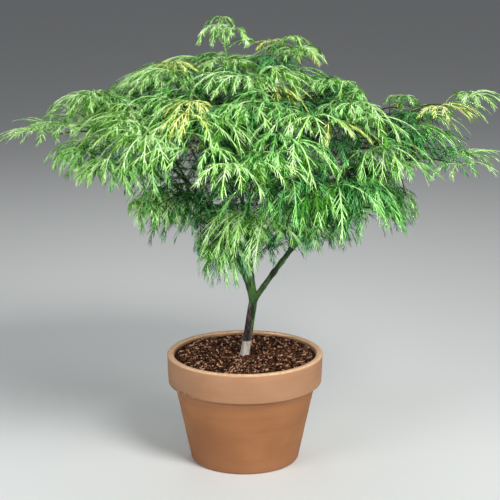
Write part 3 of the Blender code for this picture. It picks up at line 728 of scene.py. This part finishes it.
def grow_inner(spray, g):
    """Short shaded shoots along the upper part of a bough's bare wood."""
    rng = random.Random(f"{SEED} inner {g.limb.name}")
    bare = g.bare()
    for share in INNER_SHARES:
        foot, along = at_share(bare, share)
        if foot[2] < LOWEST_INNER:
            continue
        across = unit(np.cross(along, UP) + 1e-6)
        for side in (-1, 1):
            direction = unit(splayed(along, across, side * rng.uniform(35, 80)))
            # Painted shade: these inner leaves get a dark green.
            tint = 0.50 + rng.uniform(0, 0.2)
            spray.leaf(foot, direction + UP * 0.3, PETIOLE, 0.85 * g.limb.leaf, tint, g.limb, rng)


def grow_mass(spray, g):
    """One mass: its stem's end, its coarse shoots and finer shoots between them."""
    size, full = g.limb.leaf, g.limb.full
    rng = random.Random(f"{SEED} {g.limb.name}")
    points = g.leafy()
    shoots = side_shoots(g, rng)
    tip, along = at_share(points, 0.985)
    flat = along * [1, 1, 0]
    flat = unit(flat) if np.linalg.norm(flat) > 0.25 else outward(g.limb.azimuth)
    across = np.cross(flat, UP)
    # Painted light and shade: a limb's leaves start from its sunlit share, the fan at its tip is painted
    # lighter and the finer shoots take their own shade.
    own = 0.25 - g.limb.sunlit
    tint = rng.gauss(own - 0.20, 0.06)
    for angle in TIP_FAN:
        direction = splayed(flat, across, angle + rng.uniform(-8, 8)) + UP * rng.uniform(0.05, 0.85)
        own_stalk = PETIOLE * size * rng.uniform(0.7, 1.3)
        own_size = size * tip_growth(tip) * rng.uniform(0.93, 1.07)
        spray.leaf(tip, direction, own_stalk, own_size, tint, g.limb, rng)
    for share, azimuths in LEADER_TIERS if g.limb.name == "leader" else ():
        foot, _ = at_share(points, share)
        for azimuth in azimuths:
            spray.leaf(foot, outward(azimuth) + UP * 0.5, 0.5 * PETIOLE, 1.15 * size, tint, g.limb, rng)
    for route in shoots:
        tint = rng.gauss(own, 0.12)
        nodes = SHOOT_LEAF_NODES[: round(full * len(SHOOT_LEAF_NODES))]
        grow_spray(spray, route, 0.0013, size, tint, nodes, g.limb, rng)
    run = np.linalg.norm(np.diff(points, axis=0), axis=1).sum()
    for share, lift, shade in FINE_NODES[: round(len(FINE_NODES) * full)]:
        start, along = at_share(points, share)
        across = unit(np.cross(along, UP) + 1e-6)
        for side in (-1, 1):
            direction = splayed(along, across, side * (50 + rng.uniform(-18, 18)))
            direction = unit(direction * [1, 1, 0.5] + UP * lift)
            length = FINE_SHOOT * min(1.0, run / 0.14) * rng.uniform(0.7, 1.25)
            middle = start + direction * length * 0.5 + UP * 0.1 * length
            route = [start, middle, start + direction * length]
            tint = rng.gauss(shade, 0.12)
            grow_spray(spray, route, 0.0011, 0.84 * size, tint, (), g.limb, rng)


def grow_foliage(grown):
    spray = Spray()
    for g in grown.values():
        if g.limb is not None:
            grow_inner(spray, g)
            grow_mass(spray, g)
    return spray


def cover_of(hearts):
    """How many leaves lie between each leaf and the open: those within 45 mm of the line from
    its heart, up and away from the trunk, and 8 to 110 mm along it."""
    out = unit(unit(hearts * [1, 1, 0]) + 0.35 * UP)
    apart = hearts[None] - hearts[:, None]
    ahead = (apart * out[:, None]).sum(-1)
    aside = np.linalg.norm(apart - ahead[..., None] * out[:, None], axis=-1)
    return ((ahead > 0.008) & (ahead < 0.110) & (aside < 0.045)).sum(1)


def seen_from_front(points):
    """Each point moved along its line of sight to the plane y = 0:
    eye + (point - eye) * eye_y / (eye_y - point_y)."""
    return EYE + (points - EYE) * (EYE[1] / (EYE[1] - points[..., 1:2]))


def room_in_outline(points, over):
    """How far each point of each line stands over the crown's lower edge as the front shows it,
    and which lines keep to the outline, where each may stand out by its own over."""
    seen = seen_from_front(points)
    x, low, high = CROWN_OUTLINE.T
    room = seen[..., 2] - np.interp(seen[..., 0], x, low)
    above = seen[..., 2] > np.interp(seen[..., 0], x, high) + over
    return room, ~(above | (room < -over)).any(axis=1)


def in_outline(path, tints, owner):
    """Which lobes stay: those inside the outline, of leaves that keep three or more, and clear
    of the partings. Lobes that hang past the crown's lower edge are no darker than deep."""
    rng = np.random.default_rng(SEED + 5)
    room, kept = room_in_outline(path, rng.exponential(0.006, (len(path), 1)).clip(0, 0.016))
    whole = np.bincount(owner[kept], minlength=owner[-1] + 1) >= 3
    for x, z, wide, high in PARTINGS:
        aside = (seen_from_front(path)[..., ::2] - (x, z)) / (wide, high)
        kept &= ~(((aside**2).sum(-1) < 1) & (path[..., 1] < -0.06)).any(axis=1)
    # Painted shade is lessened on lobes near the crown's lower edge.
    fringe = room.min(axis=1) < FRINGE
    tints = np.where(fringe, np.minimum(tints, 0.54 + 0.3 * rng.random(len(path))), tints)
    return kept & whole[owner], tints, whole


def lobe_arrays(leaves):
    """One row per lobe: heart, level heading, length, start and end angles, tint and leaf."""
    leaves = np.array(leaves)
    turns, shares = np.array(LOBE_TURNS), np.array(LOBE_SHARES)
    n, m = len(leaves), len(turns)
    rng = np.random.default_rng(SEED)
    heading = np.radians(leaves[:, 3:4] + turns + rng.normal(0, 3.5, (n, m)))
    length = LEAF_LENGTH * leaves[:, 4:5] * shares * rng.uniform(0.90, 1.08, (n, m))
    tilt, droop, arc = leaves[:, 5:6], leaves[:, 6:7], leaves[:, 7:8]
    start = 38 - droop - tilt * np.cos(np.radians(turns)) + rng.normal(0, 4, (n, m))
    end = arc + rng.normal(0, 6, (n, m))
    hearts = np.repeat(leaves[:, :3], m, axis=0)
    # Painted shade: each leaf's green darkens by COVER_SHADE for every leaf, up to eight, that covers it
    # from the open.
    cover = cover_of(leaves[:, :3])
    tints = np.repeat(leaves[:, 8] + COVER_SHADE * np.minimum(cover, 8), m) + rng.normal(0, 0.04, n * m)
    keep = np.ones((n, m), bool)
    keep[:, -2:] = (rng.random(n) < 0.6)[:, None]
    keep = keep.ravel()
    flat = [a.ravel()[keep] for a in (heading, length, np.radians(start), np.radians(end))]
    return hearts[keep], *flat, tints[keep], np.repeat(np.arange(n), m)[keep]


def lobe_frames(hearts, heading, length, start, end):
    """Each lobe's midrib: steps of length/steps at the elevation start + (end - start) s^bend,
    with the bend from 0.85 to 0.62 on steeper lobes, swept a little to one side. With it come
    the directions along, across and out of its face."""
    rng = np.random.default_rng(SEED + 1)
    n = len(hearts)
    s = (np.arange(LOBE_STEPS) + 0.5) / LOBE_STEPS
    bend = np.interp(np.degrees(-end), (50, 85), (0.85, 0.62))[:, None]
    rise = start[:, None] + (end - start)[:, None] * s**bend
    sweep = heading[:, None] + rng.normal(0, 0.14, (n, 1)) * s**1.5
    move = np.stack([np.cos(rise) * np.cos(sweep), np.cos(rise) * np.sin(sweep), np.sin(rise)], -1)
    move *= (length / LOBE_STEPS)[:, None, None]
    path = np.concatenate([np.zeros((n, 1, 3)), np.cumsum(move, axis=1)], axis=1)
    path += hearts[:, None]
    along = unit(np.gradient(path, axis=1))
    across = np.stack([-np.sin(heading), np.cos(heading), np.zeros(n)], -1)[:, None]
    roll = rng.normal(0, 0.18, (n, 1, 1))
    face = unit(np.cross(along, across))
    across = unit(np.cross(face, along))
    c, s = np.cos(roll), np.sin(roll)
    return path, along, across * c + face * s, face * c - across * s


def add_ribs(heap, path, across, face, width):
    """Midribs: narrow ribbons folded up along their middle."""
    n, rows = path.shape[:2]
    half = across * (0.5 * width)[..., None]
    points = np.stack([path - half, path + face * (0.32 * width)[..., None], path + half], axis=2)
    i = np.arange(rows - 1)
    left = np.stack([i * 3 + 3, i * 3 + 4, i * 3 + 1, i * 3], -1)
    quads = np.concatenate([left, left + 1])[None] + (np.arange(n) * rows * 3)[:, None, None]
    heap.add(points, quads)


def add_teeth(heap, base, aim, drop, wide, length, width):
    """Long pointed teeth: strips along base + length (s aim + s^2 drop) that narrow to a tip."""
    s = np.array(TOOTH_SHARES)[:, None]
    line = base[:, None] + length[:, None, None] * (s * aim[:, None] + s**2 * drop[:, None])
    half = 0.5 * wide[:, None] * width[:, None, None] * np.array([0.8, 1.0, 0.75])[:, None]
    sides = np.stack([line[:, :3] - half, line[:, :3] + half], 2).reshape(-1, 6, 3)
    points = np.concatenate([sides, line[:, 3:]], 1)
    n = np.arange(len(base))[:, None, None] * 7
    heap.add(points, n + [[0, 2, 3, 1], [2, 4, 5, 3]], n + [[4, 6, 5]])


def tooth_rows(path, along, across, face, length, seed):
    """The teeth of many lobes, in pairs that lean forward: (base, aim, drop, wide, length,
    width), each with the lobe's rows first and then tooth by tooth. Their length follows
    sin(pi s) over the lobe and their lean falls from 34 to 16 degrees."""
    rng = np.random.default_rng(seed)
    n = len(path)
    place = np.linspace(0.10, 0.84, TEETH)
    index = np.round(place * LOBE_STEPS).astype(int)
    lean = np.radians(np.linspace(34, 16, TEETH))[None, :, None] + rng.normal(0, 0.06, (n, TEETH, 2))
    reach = TOOTH_LENGTH * (0.45 + 0.60 * np.sin(np.pi * place**0.85))
    reach = reach[None, :, None] * (length / LEAF_LENGTH).clip(0.45, 1.1)[:, None, None]
    reach = reach * rng.uniform(0.75, 1.25, (n, TEETH, 2))
    side = np.array([-1.0, 1.0])[None, None, :, None]
    a = along[:, index][:, :, None]
    c = across[:, index][:, :, None] * side
    f = face[:, index][:, :, None]
    aim = unit(np.cos(lean)[..., None] * a + np.sin(lean)[..., None] * c)
    drop = -UP * rng.uniform(0.05, 0.30, (n, TEETH, 2))[..., None]
    base = np.broadcast_to(path[:, index][:, :, None], aim.shape)
    turn = rng.normal(0.0, 0.30, (n, TEETH, 2))[..., None]
    wide = unit(np.cross(f, aim)) * np.cos(turn) + f * np.sin(turn)
    width = TOOTH_WIDTH * rng.uniform(0.8, 1.15, (n, TEETH, 2))
    width = width * np.linspace(1.05, 0.75, TEETH)[None, :, None]
    return base, aim, drop, wide, reach, width


# Each green's teeth to a side, and two tones for its painted-shade copy and two for its
# painted-light copy. Lime to inner are steps of painted light and shade, with some random spread
# from leaf to leaf; gold is the leaves' own autumn colour.
GREENS = (
    ("lime", 11, (0.038, 0.150, 0.006), (0.125, 0.36, 0.022), (0.42, 0.75, 0.20), (0.66, 0.91, 0.52)),
    ("fresh", 11, (0.021, 0.108, 0.004), (0.080, 0.29, 0.018), (0.28, 0.66, 0.15), (0.54, 0.87, 0.41)),
    ("mid", 11, (0.010, 0.070, 0.004), (0.038, 0.185, 0.014), (0.155, 0.50, 0.100), (0.36, 0.74, 0.25)),
    ("deep", 8, (0.002, 0.026, 0.003), (0.009, 0.074, 0.009), (0.045, 0.25, 0.055), (0.13, 0.46, 0.15)),
    ("inner", 5, (0.001, 0.008, 0.001), (0.003, 0.022, 0.004), (0.008, 0.052, 0.010), (0.024, 0.12, 0.027)),
    ("gold", 11, (0.09, 0.16, 0.008), (0.21, 0.31, 0.022), (0.62, 0.76, 0.13), (0.88, 0.92, 0.42)),
)
TINT_STEPS = (0.20, 0.38, 0.56, 0.76)
COVER_SHADE = 0.078
GOLD_SHARE = 0.05
GOLD_FROM = 0.67


def make_leaves(spray):
    """All the lobes at once, parted by tint, and within a tint into a copy of its green painted in
    shade and one painted in light. Gives back which leaves stay."""
    hearts, heading, length, start, end, tints, owner = lobe_arrays(spray.leaves)
    path, along, across, face = lobe_frames(hearts, heading, length, start, end)
    kept, tints, whole = in_outline(path, tints, owner)
    rows = (path, along, across, face, length, tints)
    path, along, across, face, length, tints = (a[kept] for a in rows)
    s = np.linspace(0, 1, LOBE_STEPS + 1)
    width = RIB_WIDTH * np.interp(s, (0, 0.25, 0.6, 1.0), (0.30, 1.0, 0.75, 0.10))[None]
    width = width * (length / LEAF_LENGTH).clip(0.6, 1.1)[:, None]
    parts = tooth_rows(path, along, across, face, length, SEED + 2)
    rng = np.random.default_rng(SEED + 3)
    # Painted light and shade: three lobes in four have their ribs in the light copy; each tooth goes to the
    # light copy by chance, more often on those lobes, and the rest to the shade copy.
    lit = rng.random(len(path)) < 0.75
    bright = rng.random(parts[4].shape) < np.where(lit, 0.55, 0.3)[:, None, None]
    group = np.digitize(tints, TINT_STEPS)
    gold = (rng.random(owner[-1] + 1) < GOLD_SHARE)[owner[kept]] & (hearts[kept, 2] > GOLD_FROM)
    group = np.where(gold & (group < 3), len(TINT_STEPS) + 1, group)
    masses = [name for name in frame["nodes"] if name.startswith("mass_")]
    for number, (name, teeth, *tones) in enumerate(GREENS):
        mine = group == number
        r = np.arange(0, LOBE_STEPS + 1, 3 if name == "inner" else 2)
        spaced = np.isin(np.arange(TEETH), np.linspace(0, TEETH - 1, teeth).round())[:, None]
        for kind, tone in (("blades", tones[:2]), ("strands", tones[2:])):
            heap = Heap()
            ribs = mine & (lit == (kind == "strands"))
            add_ribs(heap, path[ribs][:, r], across[ribs][:, r], face[ribs][:, r], width[ribs][:, r])
            chosen = (bright[mine] == (kind == "strands")) & spaced
            add_teeth(heap, *[p[mine][chosen] for p in parts])
            title = f"leaf_{kind}_{name}"
            finish = leaf_finish(title, *tone)
            heap.build(title, finish, "leaves", masses if title == "leaf_blades_lime" else ())
    return whole


def make_twigs(spray, whole):
    """Shoots as thin tapering tubes, and the stalks of the leaves that stay as thinner ones."""
    shoots, stalks = Heap(), Heap()
    routes = np.array([route for route, _ in spray.twigs])
    radii = np.array([radius for _, radius in spray.twigs])[:, None] * np.linspace(1.0, 0.62, 9)
    kept = room_in_outline(routes, 0.010)[1]
    tubes(shoots, routes[kept], radii[kept], 5)
    routes = np.array([route for route, leaf in spray.stalks if whole[leaf]])
    radii = np.linspace(0.00085, 0.00065, 6)[None] * np.ones((len(routes), 1))
    tubes(stalks, routes, radii, 4)
    young = bark_finish("shoot_bark", (0.045, 0.070, 0.018), (0.11, 0.16, 0.045), (0.09, 0.18, 0.04))
    shoots.build("green_shoots", young, "leaves")
    stalks.build("leaf_stalks", leaf_finish("stalks", (0.22, 0.36, 0.09), (0.40, 0.54, 0.18)), "leaves")


# Pot and potting bark


def rounded(corners, steps=6):
    """A profile through corners (radius, height, rounding): each corner gives way to the
    quadratic curve from one of its sides to the other."""
    corners = np.array(corners, float)
    points = [corners[0, :2]]
    for before, here, after in zip(corners, corners[1:], corners[2:]):
        a, b = unit(before[:2] - here[:2]), unit(after[:2] - here[:2])
        t = np.linspace(0, 1, steps)[:, None]
        p, q = here[:2] + a * here[2], here[:2] + b * here[2]
        points.extend(p * (1 - t) ** 2 + here[:2] * 2 * t * (1 - t) + q * t**2)
    points.append(corners[-1, :2])
    return np.array(points)


def refined(profile, step):
    """The profile with points no further apart than step."""
    out = [profile[:1]]
    for a, b in zip(profile, profile[1:]):
        count = max(1, int(np.linalg.norm(b - a) / step))
        out.append(a + (b - a) * (np.arange(1, count + 1) / count)[:, None])
    return np.concatenate(out)


def body_radius(height):
    """The pot's outside below the rim band: a straight cone from the base."""
    share = height / (POT_HEIGHT - RIM_BAND_HEIGHT)
    return BASE_RADIUS + (RIM_RADIUS - RIM_BAND_TAPER - RIM_BAND_LIP - BASE_RADIUS) * share


def inner_radius(height):
    """The pot's inside: a straight cone from the floor to the rim."""
    low, high = body_radius(FLOOR) - WALL, RIM_RADIUS - WALL
    return low + (high - low) * (height - FLOOR) / (POT_HEIGHT - FLOOR)


POT_AROUND = 192
FLOOR_RING = 0.080
HOLE_LIP = ((0.0022, 0.0), (0.0008, 0.0), (0.0, 0.001))
HOLE_LIPS = [(wider, FLOOR - z) for wider, z in HOLE_LIP] + list(HOLE_LIP[::-1])


def add_drained_floor(heap, top, under):
    """The pot's floor inside two rings, one third of the disc for each drain hole. Its rows run
    from the third's outline in to the hole's edge, c + r unit(outline - c), down and out again."""
    share = POT_AROUND // DRAIN_HOLES
    inward = np.linspace(1, 0, 13)[1:, None]
    for i in range(DRAIN_HOLES):
        turn = 0.25 + i / DRAIN_HOLES
        arc = (round(POT_AROUND * turn) - share // 2 + np.arange(share + 1)) % POT_AROUND
        loops = []
        for ring in (top, under):
            middle = ring.mean(axis=0) * [0, 0, 1]
            spokes = [middle + (ring[j] - middle) * inward for j in (arc[-1], arc[0])]
            loops.append(np.concatenate([ring[arc], spokes[0], spokes[1][-2::-1]]))
        centre = DRAIN_CIRCLE_RADIUS * outward(360 * turn)
        ray = unit((loops[0] - centre) * [1, 1, 0])
        lips = [centre + (DRAIN_RADIUS + wider) * ray + UP * z for wider, z in HOLE_LIPS]
        rows = np.stack([loops[0], *lips, loops[1]])
        heap.add(rows, ring_faces(*rows.shape[:2]))


def make_pot():
    """A profile turned about the axis: r (cos q, sin q), z, with faint throwing rings and a rim
    that is a touch out of round."""
    band = POT_HEIGHT - RIM_BAND_HEIGHT
    corners = (
        (FLOOR_RING, FLOOR, 0.0),
        (inner_radius(FLOOR), FLOOR, 0.006),
        (inner_radius(POT_HEIGHT), POT_HEIGHT, 0.0045),
        (RIM_RADIUS, POT_HEIGHT, 0.0050),
        (RIM_RADIUS - RIM_BAND_TAPER, band, 0.0040),
        (body_radius(band), band, 0.0030),
        (BASE_RADIUS, 0.0, 0.0050),
        (FLOOR_RING, 0.0, 0.0),
    )
    profile = refined(rounded(corners), 0.004)
    q = circle(POT_AROUND)
    r, z = profile[:, :1], profile[:, 1:]
    outer = (r > inner_radius(0.1)) * 1.0
    rings = outer * (0.00016 * np.sin(z * 1450) + 0.00012 * np.sin(z * 610 + 1))
    wobble = 0.0005 * np.sin(2 * q + 0.4) + 0.0003 * np.sin(3 * q + 2) + 0.00012 * np.sin(17 * q)
    radius = r + rings + wobble * (z / POT_HEIGHT)
    sag = 0.0004 * np.sin(3 * q + 1.2) * ((z > 0.14) & (z < 0.17) & (r > 0.13))
    points = polar(radius, q, z + sag)
    heap = Heap()
    heap.add(points, ring_faces(len(profile), POT_AROUND)[..., ::-1])
    add_drained_floor(heap, points[0], points[-1])
    heap.weld()
    heap.build("clay_pot", clay_finish(), "clay", ["pot"], True)


def bark_level(r):
    """Height of the potting bark at a radius: flat round the trunk, falling to the wall."""
    inner = inner_radius(0.2)
    return BARK_TOP + 0.0018 * (np.minimum(r, inner) / inner) ** 2


CHIPS = (
    ("bark_dark", 2500, (0.003, 0.0006, 0.0003), (0.015, 0.004, 0.002)),
    ("bark_red", 2300, (0.046, 0.014, 0.006), (0.165, 0.062, 0.028)),
    ("bark_pale", 950, (0.27, 0.120, 0.066), (0.76, 0.45, 0.30)),
)


def turned(chips, angles, a, b):
    """Each chip turned by its own angle in the plane of two axes: a c - b s, a s + b c."""
    c, s = np.cos(angles)[:, None], np.sin(angles)[:, None]
    out = chips.copy()
    out[..., a] = chips[..., a] * c - chips[..., b] * s
    out[..., b] = chips[..., a] * s + chips[..., b] * c
    return out


def make_bark_bed():
    """The bed is z = level(r) plus ripples, and goes on down the pot's wall to its floor, closed
    by a point at each end."""
    heap = Heap()
    rows, around = 60, 120
    q = circle(around)[None]
    r = np.linspace(0.0005, inner_radius(0.205) + 0.001, rows)[:, None]
    rng = np.random.default_rng(8)
    bump = sum(
        np.sin(k * r * 420 + m * q + p) / 3
        for k, m, p in zip(rng.uniform(0.4, 1.6, 12), rng.integers(-22, 22, 12), rng.uniform(0, 6, 12))
    )
    z = bark_level(r) - 0.0032 + 0.0009 * bump
    points = polar(r, q, z)
    low = FLOOR + 0.007
    wall = [(inner_radius(0.19) + 0.001, 0.19), (inner_radius(low) - 0.0005, low)]
    wall = np.array([*wall, (FLOOR_RING, FLOOR + 0.0004)])
    side = polar(wall[:, :1], q, wall[:, 1:])
    points = np.concatenate([points, side])
    ends = points[[0, -1], :, 2].mean(axis=1)[:, None] * UP
    count = (rows + 3) * around
    top = pole_faces(count, 0, around)
    under = pole_faces(count + 1, count - around, around)[:, [0, 2, 1]]
    faces = ring_faces(rows + 3, around)[..., ::-1]
    heap.add(np.concatenate([points.reshape(-1, 3), ends]), faces, np.concatenate([top, under]))
    bed = chip_finish("potting_bed", (0.012, 0.006, 0.004), (0.045, 0.020, 0.013))
    heap.build("bark_bed", bed, "bark_chips", ["potting_bark"], True)


def make_chips():
    """Each chip is a bent six-sided slab, laid at a tilt."""
    for number, (name, count, dark, light) in enumerate(CHIPS):
        rng = np.random.default_rng(100 + number)
        radius = (inner_radius(0.2) - 0.006) * np.sqrt(rng.random(count))
        angle = rng.uniform(0, 2 * np.pi, count)
        centre = polar(radius, angle, bark_level(radius))
        centre[:, 2] += rng.uniform(-0.0030, 0.0004, count)
        long = rng.uniform(0.0017, 0.0056, count)
        wide = long * rng.uniform(0.22, 0.6, count)
        thick = rng.uniform(0.0004, 0.0010, count)
        turn = circle(6)
        ragged = rng.uniform(0.72, 1.2, (count, 6))
        x = long[:, None] * np.cos(turn) * ragged
        y = wide[:, None] * np.sin(turn) * ragged
        bend = 0.12 * x**2 / long[:, None] * rng.uniform(-1, 1, (count, 1))
        slab = np.stack([x, y, bend + thick[:, None]], -1)
        lower = np.stack([x * 0.92, y * 0.92, bend - thick[:, None]], -1)
        chip = np.concatenate([slab, lower], axis=1)
        yaw = rng.uniform(0, 2 * np.pi, count)
        tilt = rng.normal(0, 0.42, count)
        chip = turned(turned(chip, tilt, 0, 2), yaw, 0, 1) + centre[:, None]
        j = np.arange(6)
        k = (j + 1) % 6
        side = np.stack([j, j + 6, k + 6, k], -1)
        lid = np.array([[0, 1, 2, 3], [3, 4, 5, 0]])
        quads = np.concatenate([side, lid, lid[:, ::-1] + 6])
        pile = Heap()
        pile.add(chip, quads + (np.arange(count) * 12)[:, None, None])
        pile.build(name, chip_finish(name, dark, light), "bark_chips")


# Studio


# Name, place, height on the axis that it aims at, size, watts, colour and a narrow beam's spread
LAMPS = (
    ("key", (1.3, -2.1, 2.7), 0.5, 1.2, 92.0, (1.0, 1.0, 0.96)),
    ("fill", (-2.4, -2.1, 1.3), 0.4, 2.0, 52.0, (0.94, 0.97, 1.0)),
    ("side", (2.3, -2.3, 1.0), 0.4, 1.8, 51.0, (1.0, 1.0, 0.98)),
    ("front", (0.0, -3.2, 0.72), 0.54, 0.6, 1.0, (1.0, 1.0, 0.98), 16),
    ("back", (-0.4, 1.8, 2.8), 0.6, 1.4, 20.0, (1.0, 1.0, 0.96)),
)
FLOOR_RINGS = (0.5, 2.0, 6.0, 15.0, 40.0, 90.0)
LENS = 100.44
LOOKS_DOWN = 13.04


def add_lamp(name, place, aim, size, power, colour, spread=180):
    """A soft disc of light that faces the plant's axis."""
    lamp = bpy.data.lights.new(name, "AREA")
    lamp.spread = math.radians(spread)
    lamp.shape = "DISK"
    lamp.size = size
    lamp.energy = power
    lamp.color = colour
    holder = placed(name, lamp)
    holder.location = place
    holder.rotation_euler = (Vector(place) - Vector((0.0, 0.0, aim))).to_track_quat("Z", "Y").to_euler()


def make_studio():
    """A wide pale floor, soft lamps and an even sky."""
    scene = bpy.context.scene
    reach = np.array(FLOOR_RINGS)[:, None]
    q = circle(48)
    points = polar(reach, q, 0.0).reshape(-1, 3)
    mesh = bpy.data.meshes.new("floor")
    faces = [list(range(48)), *ring_faces(6, 48)[..., ::-1].reshape(-1, 4).tolist()]
    mesh.from_pydata(points.tolist(), [], faces)
    mesh.materials.append(floor_finish())
    floor = placed("floor", mesh)
    for lamp in LAMPS:
        add_lamp(*lamp)
    world = bpy.data.worlds.new("sky")
    scene.world = world
    world.use_nodes = True
    sky = world.node_tree.nodes["Background"]
    sky.inputs["Color"].default_value = (0.93, 0.97, 1.0, 1.0)
    sky.inputs["Strength"].default_value = 0.16
    scene.view_settings.view_transform = "Standard"
    camera = bpy.data.cameras.new("camera")
    camera.sensor_width = 36.0
    camera.lens = LENS
    holder = placed("camera", camera)
    holder.location = EYE
    holder.rotation_euler = (math.radians(90 - LOOKS_DOWN), 0.0, 0.0)
    scene.camera = holder


def main():
    make_studio()
    grown = grow_limbs()
    make_wood(grown)
    spray = grow_foliage(grown)
    whole = make_leaves(spray)
    make_twigs(spray, whole)
    make_pot()
    make_bark_bed()
    make_chips()
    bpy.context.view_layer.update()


main()
